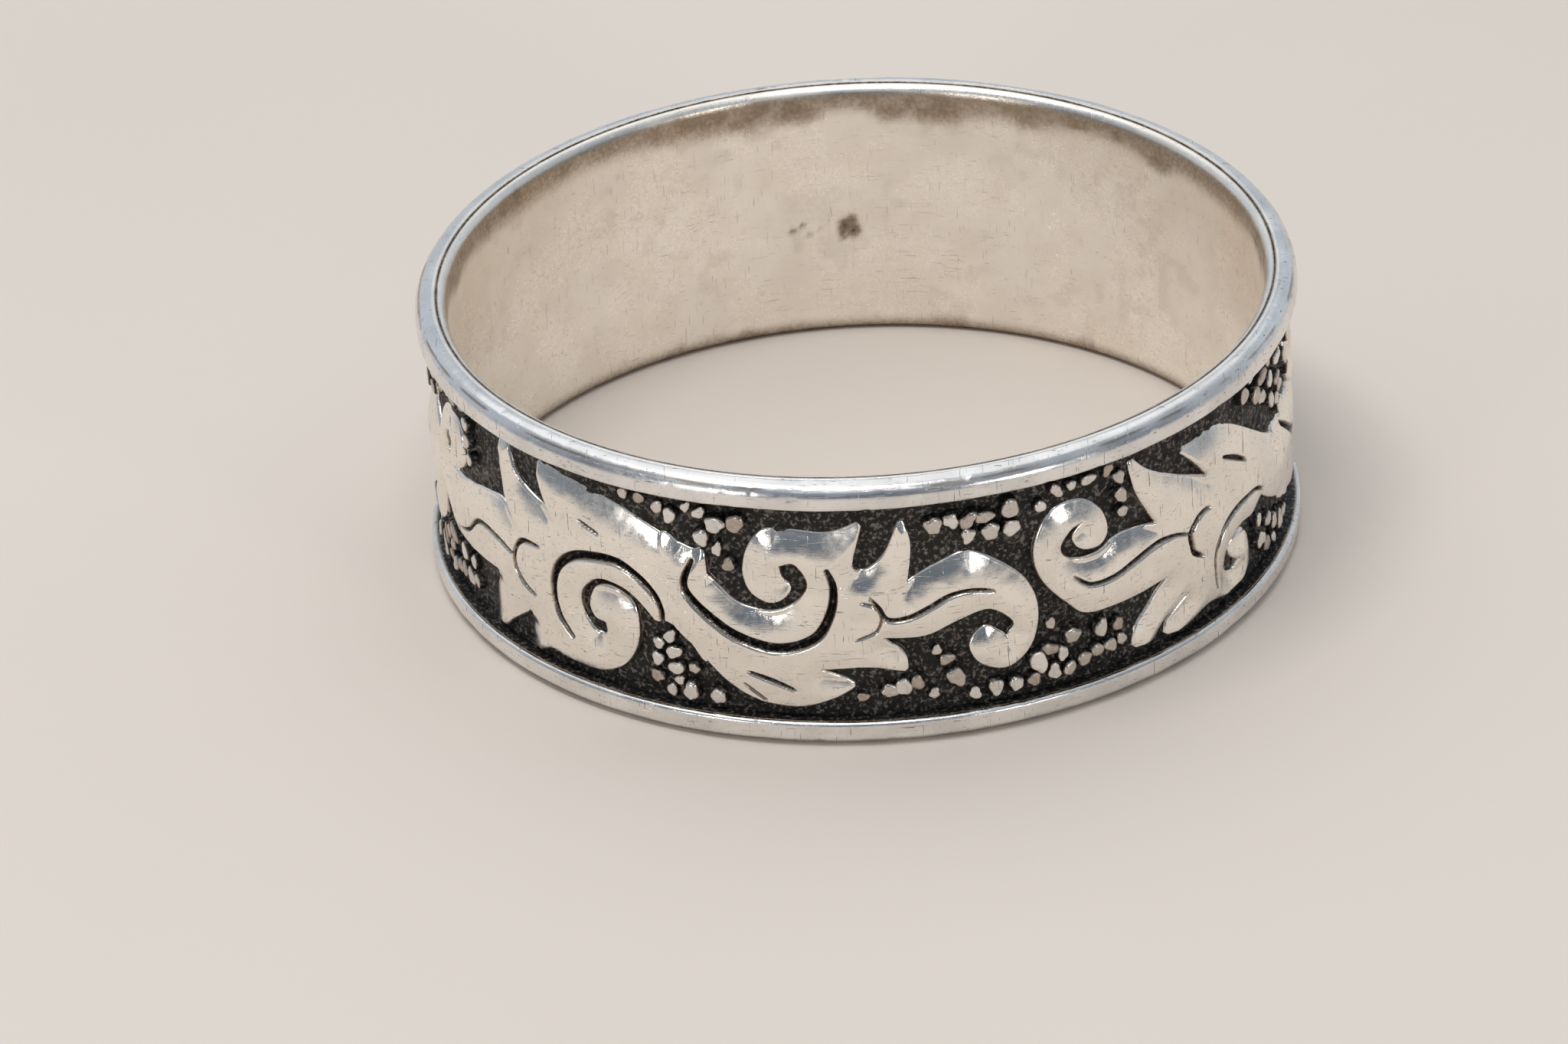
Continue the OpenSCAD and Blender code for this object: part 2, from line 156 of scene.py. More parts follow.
# Granules are [along, up, radius].
SIDE_UPPER = [
    [-4.75, 2.02, 0.14], [-4.35, 2.33, 0.15], [-3.95, 2.34, 0.13], [-3.52, 2.36, 0.15],
    [-2.98, 2.42, 0.13], [-2.66, 2.12, 0.16], [-2.64, 1.67, 0.17], [-2.58, 1.22, 0.14],
]
LEFT_LEAD = [
    [2.95, 2.42, 0.13], [3.38, 2.4, 0.13], [3.85, 2.28, 0.15],
]
RIGHT_LEAD = [
    [1.9, 2.22, 0.18], [2.35, 2.45, 0.13], [2.42, 1.98, 0.2], [2.92, 2.2, 0.19],
    [2.92, 1.68, 0.18], [3.42, 2.36, 0.15], [3.42, 1.9, 0.2], [3.5, 1.32, 0.17],
    [3.92, 2.2, 0.19], [4.02, 1.62, 0.18], [4.12, 1.05, 0.16],
]
SIDE_LOWER = [
    [-4.6, -1.02, 0.13], [-4.08, -1.44, 0.2], [-3.3, -1.52, 0.19], [-2.84, -1.58, 0.15],
    [-4.32, -1.86, 0.16], [-4.55, -2.26, 0.17], [-4.16, -2.29, 0.16], [-3.78, -2.15, 0.17],
    [-3.42, -2.05, 0.17], [-3.05, -2.06, 0.17], [-2.72, -2.02, 0.14],
]
LEFT_HEEL = [
    [4.0, -1.0, 0.15], [3.7, -1.24, 0.14], [4.08, -1.4, 0.17], [3.66, -1.64, 0.15],
    [4.12, -1.8, 0.18], [3.6, -2.12, 0.16], [4.18, -2.12, 0.13], [3.98, -2.4, 0.14],
    [4.48, -2.32, 0.2],
]
RIGHT_HEEL = [
    [2.6, -1.35, 0.15], [2.66, -1.9, 0.2], [3.2, -1.66, 0.17], [3.1, -2.25, 0.2],
    [3.66, -1.95, 0.18], [3.68, -2.4, 0.14], [4.15, -2.15, 0.2],
]
UPRIGHT_UPPER = [
    [-4.62, 2.15, 0.17], [-4.22, 2.42, 0.12], [-3.9, 2.32, 0.14], [-3.5, 2.12, 0.21],
    [-3.84, 1.74, 0.19], [-3.02, 2.2, 0.22], [-3.5, 1.46, 0.14], [-3.24, 1.1, 0.15],
    [1.48, 2.08, 0.2], [1.9, 2.12, 0.19], [2.29, 2.08, 0.18], [2.68, 2.1, 0.17],
    [3.28, 2.2, 0.21], [2.28, 1.7, 0.18], [2.8, 1.72, 0.21], [3.3, 1.7, 0.19],
]
UNDER_LEAF = [
    [1.45, -1.12, 0.12], [1.68, -1.4, 0.15], [1.87, -1.84, 0.22], [0.34, -2.04, 0.17],
    [0.66, -1.97, 0.19], [0.98, -1.9, 0.16], [-0.28, -2.2, 0.12], [1.36, -2.24, 0.13],
    [2.3, -2.35, 0.15], [2.8, -2.3, 0.19], [3.28, -2.3, 0.18], [3.84, -1.88, 0.23],
    [4.16, -1.66, 0.17], [3.74, -2.34, 0.16],
]
HIGH_HEEL = [
    [-4.24, -1.74, 0.13], [-3.66, -2.35, 0.19],
]
LOW_STEM = [
    [-4.5, 1.3, 0.17], [-4.1, 1.1, 0.13], [-4.45, 0.75, 0.15],
]
LOW_HEEL = [
    [-4.5, -2.15, 0.17], [-4.0, -2.3, 0.16],
]

STYLES = {
    "right": (RIGHT_OUTLINE, RIGHT_LINES, SIDE_UPPER + RIGHT_LEAD, SIDE_LOWER + RIGHT_HEEL),
    "low": (LOW_OUTLINE, LOW_LINES, UPRIGHT_UPPER + LOW_STEM, UNDER_LEAF + LOW_HEEL),
    "left": (LEFT_OUTLINE, LEFT_LINES, SIDE_UPPER + LEFT_LEAD, SIDE_LOWER + LEFT_HEEL),
    "high": (HIGH_OUTLINE, HIGH_LINES, UPRIGHT_UPPER, UNDER_LEAF + HIGH_HEEL),
}
ORDER = ["right", "low", "left", "high", "right", "low", "left"]


# ---------------------------------------------------------------- curves and distances
NEAREST_CHUNK = 6000
NOISE_TABLE = 512


def smooth_curve(points, steps, closed):
    """A curve through all the points, as the CAD source draws it."""
    n = len(points)
    out = []
    for i in range(n if closed else n - 1):
        a, b, c, d = (points[k % n] if closed else points[min(max(k, 0), n - 1)]
                      for k in (i - 1, i, i + 1, i + 2))
        pa, pb, pc, pd = (np.array(p[:2], float) for p in (a, b, c, d))
        u = pc - pb if len(b) > 2 else (pc - pa) / 2
        v = pc - pb if len(c) > 2 else (pd - pb) / 2
        for j in range(steps):
            f = j / steps
            out.append((2 * f**3 - 3 * f**2 + 1) * pb + (f**3 - 2 * f**2 + f) * u
                       + (3 * f**2 - 2 * f**3) * pc + (f**3 - f**2) * v)
    if not closed:
        out.append(np.array(points[-1][:2], float))
    return np.array(out)


def nearest(points, line, closed):
    """For each point: its distance to the line, the closest place, and how far along that is."""
    a = line if closed else line[:-1]
    b = np.roll(line, -1, axis=0) if closed else line[1:]
    ab = (b - a).astype(np.float32)
    length2 = np.maximum((ab**2).sum(1), 1e-12)
    starts = np.concatenate([[0], np.cumsum(np.sqrt(length2))])
    dist = np.empty(len(points), np.float32)
    spot = np.empty((len(points), 2), np.float32)
    share = np.empty(len(points), np.float32)
    a32 = a.astype(np.float32)
    for k in range(0, len(points), NEAREST_CHUNK):
        here = slice(k, k + NEAREST_CHUNK)
        p = points[here].astype(np.float32)
        ap = p[:, None, :] - a32[None]
        f = np.clip((ap * ab[None]).sum(2) / length2[None], 0, 1)
        q = ap - f[..., None] * ab[None]
        d2 = (q**2).sum(2)
        best = d2.argmin(1)
        rows = np.arange(len(p))
        dist[here] = np.sqrt(d2[rows, best])
        fb = f[rows, best]
        spot[here] = a32[best] + fb[:, None] * ab[best]
        share[here] = (starts[best] + fb * np.sqrt(length2[best])) / starts[-1]
    return dist, spot, share


def inside(points, line):
    """Whether each point is inside the closed line."""
    x, y = points[:, 0], points[:, 1]
    result = np.zeros(len(points), bool)
    for (x0, y0), (x1, y1) in zip(line, np.roll(line, -1, axis=0)):
        if y0 == y1:
            continue
        crosses = (y0 > y) != (y1 > y)
        at = x0 + (y - y0) * (x1 - x0) / (y1 - y0)
        result ^= crosses & (x < at)
    return result


def lattice_noise(x, y, cell, seed, period=None):
    """Smooth noise from -1 to 1 with features the size of cell; x may repeat after period."""
    rng = np.random.default_rng(seed)
    wide = int(round(period / cell)) if period else NOISE_TABLE
    table = rng.uniform(-1, 1, (wide, NOISE_TABLE))
    fx, fy = np.asarray(x) / cell, np.asarray(y) / cell
    ix, iy = np.floor(fx).astype(int), np.floor(fy).astype(int)
    tx, ty = fx - ix, fy - iy
    tx, ty = tx * tx * (3 - 2 * tx), ty * ty * (3 - 2 * ty)
    i0, i1 = ix % wide, (ix + 1) % wide
    j0, j1 = iy % NOISE_TABLE, (iy + 1) % NOISE_TABLE
    low = table[i0, j0] * (1 - tx) + table[i1, j0] * tx
    high = table[i0, j1] * (1 - tx) + table[i1, j1] * tx
    return low * (1 - ty) + high * ty


def ramp(x, low, high):
    """0 below low, 1 above high, and an S curve between."""
    f = np.clip((x - low) / (high - low), 0, 1)
    return f * f * (3 - 2 * f)


# ---------------------------------------------------------------- meshes
def wrap(along, up, radius, centre_deg):
    """Places on the drawing, at a radius in millimetres, as points in metres."""
    a = np.radians(centre_deg + np.asarray(along) * ALONG_DEG)
    z = MID + np.asarray(up) * UP
    return np.stack([radius * np.sin(a), -radius * np.cos(a), z], -1) * MM


def make_mesh(name, verts, faces, material, dark=None):
    """A smooth-shaded object; dark is how blackened each vertex is, from 0 to 1, and on the liner
    and rims also how much painted shade it has.
    """
    mesh = bpy.data.meshes.new(name)
    mesh.from_pydata(np.asarray(verts, float).tolist(), [], faces)
    mesh.update()
    mesh.shade_smooth()
    if dark is not None:
        layer = mesh.attributes.new("dark", "FLOAT", "POINT")
        layer.data.foreach_set("value", np.asarray(dark, np.float32))
    mesh.materials.append(material)
    obj = bpy.data.objects.new(name, mesh)
    bpy.context.scene.collection.objects.link(obj)
    return obj


def finish_piece(obj, slot, *nodes):
    """Everything rides the one body; the piece stands in for its CAD node."""
    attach(obj, "root")
    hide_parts(*nodes)


# ---------------------------------------------------------------- scrolls
GRID = 0.03          # spacing of the height grid
EDGE = 0.085         # width of the rounded edge
TOP_DROP = 0.14      # how far the top falls towards the edge
SHOULDER = 0.7       # over this distance
LEAN = 0.24          # the crest lies this much below the middle of a leaf
BURIED = 0.05        # how far pieces reach into the ground
CUT_BLACK = 0.11     # a cut this deep is fully black
SCROLL_SEED = 11
NOISE_SHIFT = 40     # where the noise starts
# Rings down the rounded edge: place and drop, both as shares of its width, and blackness
EDGE_RINGS = [
    (0.35, 0.09, 0.0), (0.68, 0.34, 0.0), (0.9, 0.72, 0.0), (1.0, 1.1, 0.32), (1.1, 1.9, 0.75),
]
FOOT_SHARE = 1.35    # the same place for the foot of the wall


def signed_distance(points, line):
    """Distance inside the closed line, negative outside, and the closest place on it."""
    dist, spot, _ = nearest(points, line, True)
    return np.where(inside(points, line), dist, -dist), spot


def groove_depth(points, lines):
    """How deep the cut lines are at each point."""
    depth = np.zeros(len(points))
    for half, deep, route in lines:
        curve = smooth_curve(route, 6, False)
        box = (curve.min(0) - 4 * half, curve.max(0) + 4 * half)
        near = ((points > box[0]) & (points < box[1])).all(1)
        dist, _, share = nearest(points[near], curve, False)
        width = half * (0.55 + 0.45 * np.sin(np.pi * share))
        fade = ramp(share, -0.001, 0.08) * ramp(-share, -1.001, -0.92)
        cut = deep * (0.4 + 0.6 * fade) * np.exp(-(dist / width) ** 3)
        depth[near] = np.maximum(depth[near], cut)
    return depth


def sample(ts, ys, field, points):
    """The field between its grid points."""
    fx = np.clip((points[:, 0] - ts[0]) / (ts[1] - ts[0]), 0, len(ts) - 1.001)
    fy = np.clip((points[:, 1] - ys[0]) / (ys[1] - ys[0]), 0, len(ys) - 1.001)
    ix, iy = fx.astype(int), fy.astype(int)
    fx, fy = fx - ix, fy - iy
    near = field[ix, iy] * (1 - fy) + field[ix, iy + 1] * fy
    far = field[ix + 1, iy] * (1 - fy) + field[ix + 1, iy + 1] * fy
    return near * (1 - fx) + far * fx


def relief_height(points, dist, seed):
    """Radius of a scroll's top at places on the drawing, from their distance inside the edge."""
    shoulder = TOP_DROP * np.clip(1 - dist / SHOULDER, 0, 1.35) ** 2
    along, up = points[:, 0] + NOISE_SHIFT, points[:, 1] + NOISE_SHIFT
    soft = 0.014 * lattice_noise(along, up, 0.9, seed)
    fine = 0.005 * lattice_noise(along, up, 0.22, seed + 1)
    crown = 0.012 * points[:, 1] ** 2
    return RELIEF - shoulder + soft + fine - crown


def march(ts, ys, field):
    """Faces of the area where the field is positive, cut exactly where it is zero."""
    verts, index, faces = [], {}, []

    def corner(i, j):
        key = (i, j)
        if key not in index:
            index[key] = len(verts)
            verts.append((ts[i], ys[j]))
        return index[key]

    def crossing(a, b):
        key = (a, b) if a < b else (b, a)
        if key not in index:
            p, q = key
            f = field[p] / (field[p] - field[q])
            index[key] = len(verts)
            t, y = ts[p[0]], ys[p[1]]
            verts.append((t + f * (ts[q[0]] - t), y + f * (ys[q[1]] - y)))
        return index[key]

    solid = field > 0
    touched = solid[:-1, :-1] | solid[1:, :-1] | solid[:-1, 1:] | solid[1:, 1:]
    for i, j in zip(*np.nonzero(touched)):
        ring = [(i, j), (i + 1, j), (i + 1, j + 1), (i, j + 1)]
        face = []
        for k in range(4):
            a, b = ring[k], ring[(k + 1) % 4]
            if solid[a]:
                face.append(corner(*a))
            if solid[a] != solid[b]:
                face.append(crossing(a, b))
        faces.append(face)
    return np.array(verts), faces


def border(faces):
    """Directed edges that only one face uses."""
    edges = set()
    for face in faces:
        for a, b in zip(face, face[1:] + face[:1]):
            if (b, a) in edges:
                edges.remove((b, a))
            else:
                edges.add((a, b))
    return edges


@functools.cache
def scroll_sheet(style, before, after, start, stop):
    """The flat top of a scroll, from start to stop, with what its neighbours add there.

    Returns the vertices [along, up], the faces, each vertex's distance inside the edge, the edges
    of the border, its vertices, the closest place of the outline to each, and the cut lines.
    """
    outline, lines, _, _ = STYLES[style]
    own = smooth_curve(outline, 5, True)
    neighbours = [(s, shift) for s, shift in ((before, -DRAWN_PITCH), (after, DRAWN_PITCH)) if s]
    others = [smooth_curve(STYLES[s][0], 5, True) + [shift, 0] for s, shift in neighbours]
    around_lines = [(half, deep, [[p[0] + shift, p[1]] for p in route])
                    for s, shift in neighbours for half, deep, route in STYLES[s][1]]
    ts = np.linspace(start, stop, int(round((stop - start) / GRID)) + 1)
    ys = np.linspace(-DRAWN_HALF, DRAWN_HALF, int(round(2 * DRAWN_HALF / GRID)) + 1)
    grid = np.stack(np.meshgrid(ts, ys, indexing="ij"), -1).reshape(-1, 2)

    def union(points):
        dist, spot = signed_distance(points, own)
        for other in others:
            low, high = other[:, 0].min() - 0.6, other[:, 0].max() + 0.6
            reach = (points[:, 0] > low) & (points[:, 0] < high)
            if not reach.any():
                continue
            d2, s2 = signed_distance(points[reach], other)
            wins = d2 > dist[reach]
            part, part_spot = dist[reach], spot[reach]
            part[wins], part_spot[wins] = d2[wins], s2[wins]
            dist[reach], spot[reach] = part, part_spot
        return dist, spot

    field = union(grid)[0].reshape(len(ts), len(ys))
    verts, faces = march(ts, ys, field - EDGE)
    leaned = sample(ts, ys, field, verts + [0, LEAN])
    edges = border(faces)
    rim_ids = np.array(sorted({v for e in edges for v in e}))
    spot = union(verts[rim_ids])[1]
    return verts, faces, leaned, edges, rim_ids, spot, lines + around_lines


def scroll_mesh(style, before, after, start, stop, centre_deg):
    """A scroll with a rounded edge, and flat walls where it is cut from its neighbours."""
    sheet = scroll_sheet(style, before, after, start, stop)
    verts, faces, leaned, edges, rim_ids, spot, lines = sheet
    faces = list(faces)
    top = relief_height(verts + [centre_deg / ALONG_DEG, 0], leaned, SCROLL_SEED)
    cut = groove_depth(verts, lines)
    radius = top - cut
    dark = np.clip(cut / CUT_BLACK, 0, 1)

    rim, rim_radius, rim_dark = verts[rim_ids], radius[rim_ids], dark[rim_ids]
    at_cut = (np.abs(rim[:, 0] - start) < 1e-6) | (np.abs(rim[:, 0] - stop) < 1e-6)
    out = spot - rim
    out[at_cut, 0] = 0
    length = np.maximum(np.linalg.norm(out, axis=1), 1e-6)
    unit = out / length[:, None]
    reach = np.minimum(length, EDGE)
    bottom = np.full(len(rim_ids), GROUND - BURIED)

    all_v, all_r, all_d = [verts], [radius], [dark]
    for share, drop, black in EDGE_RINGS:
        all_v.append(rim + unit * (reach * share)[:, None])
        all_r.append(rim_radius - EDGE * drop)
        all_d.append(np.maximum(rim_dark, black))
    all_v.append(rim + unit * (reach * FOOT_SHARE)[:, None])
    all_r.append(bottom)
    all_d.append(np.ones(len(rim_ids)))
    for level in (rim_radius, bottom):
        all_v.append(rim)
        all_r.append(level)
        all_d.append(rim_dark)

    n, m = len(verts), len(rim_ids)
    wall = n + m * (len(EDGE_RINGS) + 1)
    place = {v: k for k, v in enumerate(rim_ids)}
    for a, b in edges:
        ia, ib = place[a], place[b]
        if at_cut[ia] and at_cut[ib]:
            faces.append([wall + ib, wall + ia, wall + m + ia, wall + m + ib])
            continue
        upper_a, upper_b = a, b
        for ring in range(len(EDGE_RINGS) + 1):
            lower_a, lower_b = n + ring * m + ia, n + ring * m + ib
            faces.append([upper_b, upper_a, lower_a, lower_b])
            upper_a, upper_b = lower_a, lower_b
    drawn = np.concatenate(all_v)
    points = wrap(drawn[:, 0], drawn[:, 1], np.concatenate(all_r), centre_deg)
    return points, faces, np.concatenate(all_d)


# ---------------------------------------------------------------- turned parts
def turned(profile, columns, first, last, shape, dark):
    """A closed profile of [radius, height] points turned about Z from one angle to another."""
    profile = np.array(profile, float)
    rows = len(profile)
    a = np.repeat(np.linspace(first, last, columns + 1)[:, None], rows, 1)
    r, z = shape(a, np.repeat(profile[None, :, 0], columns + 1, 0),
                 np.repeat(profile[None, :, 1], columns + 1, 0))
    verts = np.stack([r * np.sin(a), -r * np.cos(a), z], -1).reshape(-1, 3) * MM
    i, j = np.meshgrid(np.arange(columns), np.arange(rows), indexing="ij")
    k = (j + 1) % rows
    faces = np.stack([i * rows + j, (i + 1) * rows + j, (i + 1) * rows + k, i * rows + k], -1)
    faces = faces.reshape(-1, 4).tolist()
    shade = dark(a, r, z).reshape(-1)
    # the end caps have their own vertices, so that shading doesn't round their corners
    total = len(verts)
    faces.append([total + k for k in range(rows)])
    faces.append([total + rows + k for k in reversed(range(rows))])
    ends = [verts, verts[:rows], verts[-rows:]]
    return np.concatenate(ends), faces, np.concatenate([shade, shade[:rows], shade[-rows:]])


def joined(parts):
    """Several (vertices, faces, dark) as one."""
    faces, base = [], 0
    for verts, part_faces, _ in parts:
        faces += [[base + v for v in face] for face in part_faces]
        base += len(verts)
    return np.concatenate([p[0] for p in parts]), faces, np.concatenate([p[2] for p in parts])


def arc(centre_r, centre_z, radius, from_deg, to_deg, steps):
    """Points along a round stretch of a profile."""
    out = []
    for k in range(steps + 1):
        a = math.radians(from_deg + (to_deg - from_deg) * k / steps)
        out.append([centre_r + radius * math.cos(a), centre_z + radius * math.sin(a)])
    return out


def straight(r0, z0, r1, z1, step):
    """Points strictly between two ends."""
    n = max(1, int(round(math.hypot(r1 - r0, z1 - z0) / step)))
    return [[r0 + (r1 - r0) * k / n, z0 + (z1 - z0) * k / n] for k in range(1, n)]


def share_round(a):
    """How far round the band an angle is, from 0 to 1."""
    return (np.degrees(a) + 180) / 360


LINER_COLUMNS = 700
RIM_COLUMNS = 1300
BORE_STEP = 0.14
NOISE_ROUND = 60     # length of the circle in noise
PEBBLE_ROUND = 62

# From the top of the band down into the bore: [outward from the bore, down]
LIP_CURVE = [
    [0.30, 0.0], [0.265, 0.004], [0.245, 0.02], [0.235, 0.032], [0.225, 0.024], [0.205, 0.016],
    [0.17, 0.028], [0.13, 0.05], [0.09, 0.085], [0.055, 0.13], [0.028, 0.19], [0.01, 0.27],
    [0.0, 0.37],
]


def liner_profile():
    """Up the outside, over the worn lip, down the bore and back under the lower lip."""
    out = [[GROUND, 0.005]]
    out += straight(GROUND, 0.005, GROUND, BAND_W - 0.005, 0.095)
    out += [[GROUND, BAND_W - 0.005], [GROUND - 0.01, BAND_W]]
    out += [[INNER + x, BAND_W - y] for x, y in LIP_CURVE]
    lowest = LIP_CURVE[-1][1]
    out += straight(INNER, BAND_W - lowest, INNER, lowest, BORE_STEP)
    out += [[INNER + x, y] for x, y in reversed(LIP_CURVE)]
    out += [[GROUND - 0.01, 0]]
    return out


# Worn maker's dots inside the band: [along, up, radius, depth]; they spell nothing.
PUNCHES = [
    (0.80, 0.02, 0.13, 0.040), (0.56, 0.14, 0.11, 0.036), (0.40, -0.10, 0.11, 0.030),
    (0.14, 0.06, 0.10, 0.026), (-0.50, 0.07, 0.19, 0.070), (-0.70, -0.08, 0.17, 0.070),
    (-0.44, -0.17, 0.15, 0.055), (-0.66, 0.20, 0.15, 0.055),
]
PUNCH_AT_DEG = 184.0
PUNCH_Z = MID - 0.5


def punch_depth(a, z):
    """Depth of the worn dots at a place on the bore."""
    along = (np.degrees(a) % 360 - PUNCH_AT_DEG) * math.radians(1) * INNER
    up = z - PUNCH_Z
    depth = np.zeros_like(along)
    for px, py, size, deep in PUNCHES:
        away = ((along - px) ** 2 + (up - py) ** 2) / size**2
        depth = np.maximum(depth, deep * np.exp(-away))
    return depth


def round_noise(a, z, cell, seed, length=NOISE_ROUND):
    """Noise that closes on itself round the band."""
    return lattice_noise(share_round(a) * length, z, cell, seed, length)


def pebbles(a, z):
    """Grain of the punched ground, from about -1 to 1."""
    small = round_noise(a, z, 0.155, 31, PEBBLE_ROUND)
    large = round_noise(a, z, 0.4, 32, PEBBLE_ROUND)
    return (small + 0.5 * large) / 1.3


def liner_shape(a, r, z):
    outer = r > GROUND - 0.001
    bore = (r < INNER + 0.012) & (z > 0.3) & (z < BAND_W - 0.3)
    low = ramp(z, RIM_W - 0.02, RIM_W + 0.15)
    high = ramp(-z, -(BAND_W - RIM_W + 0.02), -(BAND_W - RIM_W - 0.15))
    grain = outer * low * high * (0.06 * pebbles(a, z) - 0.015)
    wear = 0.006 * round_noise(a, z, 1.5, 33) + 0.003 * round_noise(a, z, 0.4, 34)
    return r + grain + bore * (wear + punch_depth(a, z)), z


def liner_dark(a, r, z):
    panel = (r > GROUND - 0.08) & (z > RIM_W * 0.5) & (z < BAND_W - RIM_W * 0.5)
    ground = panel * (1 - 0.30 * ramp(pebbles(a, z), 0.2, 0.8))
    bore = r < INNER + 0.15
    marks = bore * np.clip(punch_depth(a, z) / 0.07, 0, 1) * 0.7
    blotch = 0.5 + 0.5 * round_noise(a, z, 1.2, 35)
    small = 0.5 + 0.5 * round_noise(a, z, 0.35, 36)
    # band below the lip: a painted dark reflection of the shaded near wall, frayed by noise
    painted_dark_reflection = ramp(z + 0.35 * blotch, BAND_W - 0.95, BAND_W - 0.25)
    # foot: darker towards the bottom of the bore
    foot = ramp(-z, -0.55, -0.05)
    spots = ramp(blotch * small, 0.25, 0.6)
    below_lip = bore * ramp(-z, -(BAND_W - 0.1), -(BAND_W - 0.22))
    # under the lip: the painted dark reflection, the darkening towards the bottom and random
    # tarnish spots
    painted_reflection_and_tarnish = below_lip * (0.34 * painted_dark_reflection + 0.36 * foot + 0.10 * spots)
    # painted shadow: a thin dark line in the small notch at the inner edge of the top and bottom
    # faces
    painted_edge_shadow = np.exp(-(((r - INNER - 0.235) / 0.03) ** 2)) * (0.7 + 0.3 * small)
    painted_edge_shadow = painted_edge_shadow * ((z > BAND_W - 0.1) | (z < 0.1))
    # painted shade on the bore just under the top lip, mottled by noise
    painted_lip_shade = bore * (z > BAND_W - 0.55) * ramp(-z, -(BAND_W - 0.12), -(BAND_W - 0.24))
    painted_lip_shade = 0.42 * painted_lip_shade * (0.5 + 0.5 * small)
    return np.clip(np.maximum.reduce([ground, marks, painted_reflection_and_tarnish, painted_edge_shadow, painted_lip_shade]), 0, 1)


RIM_SHOULDER = 0.37
RIM_FOOT = 0.1
SCRIBE_R = RIM_OUT - 0.1     # radius of the fine line along the rim's flat side


def rim_profile(bottom, top_side):
    """Profile of a round-shouldered wire; top_side is 1 for the upper rim and -1 for the lower."""
    pts = [[GROUND - 0.01, 0.004], [GROUND + 0.01, 0.0]]
    pts += arc(RIM_OUT - RIM_SHOULDER, RIM_SHOULDER, RIM_SHOULDER, -90, 0, 14)
    pts += straight(RIM_OUT, RIM_SHOULDER, RIM_OUT, RIM_W - RIM_FOOT, 0.04)
    pts += arc(RIM_OUT - RIM_FOOT, RIM_W - RIM_FOOT, RIM_FOOT, 0, 90, 5)
    pts += straight(RIM_OUT - RIM_FOOT, RIM_W, GROUND + 0.02, RIM_W, 0.06)
    pts += [[GROUND + 0.02, RIM_W], [GROUND - 0.02, RIM_W]]
    if top_side > 0:
        pts = [[r, RIM_W - z] for r, z in reversed(pts)]
    return [[r, bottom + z] for r, z in pts]


def scribed(r, z, face):
    """1 on the fine line along the rim's flat side, fading to 0 beside it."""
    return np.exp(-(((r - SCRIBE_R) / 0.02) ** 2)) * (np.abs(z - face) < 0.2)


def rim_shape_for(bottom, top_side, seed):
    face = bottom + RIM_W if top_side > 0 else bottom
    mid_r, mid_z = GROUND + 0.1, bottom + RIM_W / 2

    def shape(a, r, z):
        away = np.hypot(r - mid_r, z - mid_z)
        wob = 0.010 * round_noise(a, z * 0 + 5, 2.0, seed)
        wob += 0.006 * round_noise(a, z + 5, 0.5, seed + 1)
        wob -= 0.012 * ramp(round_noise(a, z + 5, 0.3, seed + 2), 0.55, 0.95)
        free = ramp(r, GROUND + 0.03, GROUND + 0.12)
        scale = 1 + wob / np.maximum(away, 0.05) * free
        new_r = mid_r + (r - mid_r) * scale
        new_z = mid_z + (z - mid_z) * scale
        line = 0.012 * scribed(r, z, face)
        line = line * ramp(round_noise(a, z * 0 + 9, 1.2, seed + 3), -0.6, 0.1)
        return new_r, new_z - top_side * line

    return shape


def rim_dark_for(bottom, top_side):
    face = bottom + RIM_W if top_side > 0 else bottom

    def dark(a, r, z):
        panel_side = (z < bottom + 0.22 * RIM_W) if top_side > 0 else (z > bottom + 0.78 * RIM_W)
        shade = panel_side * ramp(-r, -(RIM_OUT - 0.05), -(RIM_OUT - 0.2))
        broken = ramp(round_noise(a, z * 0 + 7, 0.6, 71), -0.5, 0.3)
        return np.clip(shade + 0.5 * scribed(r, z, face) * broken, 0, 1)

    return dark


# ---------------------------------------------------------------- granules
GRANULE_RINGS = 9
GRANULE_SPOKES = 22
GRANULE_SPREAD = 1.2     # worn granules are this much wider than the CAD ones


def one_granule(t, y, size, rng):
    """Vertices [along, up, radius, dark] of a worn, slightly squashed nugget."""
    phase = rng.uniform(0, 2 * math.pi, 4)
    wob = rng.uniform(0.04, 0.15, 3)
    long = rng.uniform(0.95, 1.3)
    flat = rng.uniform(0.7, 0.85)
    tilt = rng.uniform(-0.22, 0.22, 2)
    height = min(size * 1.1, RELIEF - GROUND - 0.03) * rng.uniform(0.72, 1.0)
    rings, spokes = np.meshgrid(np.arange(GRANULE_RINGS + 1), np.arange(GRANULE_SPOKES),
                                indexing="ij")
    angle = 2 * math.pi * spokes / GRANULE_SPOKES
    rho = np.sin(rings / GRANULE_RINGS * math.pi / 2) ** 0.85
    outline = 1 + wob[0] * np.sin(2 * angle + phase[0]) + wob[1] * np.sin(3 * angle + phase[1])
    outline += 0.6 * wob[2] * np.sin(5 * angle + phase[2])
    x = size * outline * rho * np.cos(angle) * long
    v = size * outline * rho * np.sin(angle) / long**0.5
    turn = phase[3]
    x, v = x * math.cos(turn) - v * math.sin(turn), x * math.sin(turn) + v * math.cos(turn)
    up = height * np.clip(1 - rho ** (2 / (1 - flat)), 0, 1) ** 0.7
    up += (tilt[0] * x + tilt[1] * v) * (1 - rho**2)
    up[-1] = -BURIED
    stain = rng.uniform(0.0, 0.32)
    dark = np.maximum(stain, ramp(rho, 0.74, 0.95))
    return np.stack([t + x, y + v, GROUND + up, dark], -1).reshape(-1, 4)


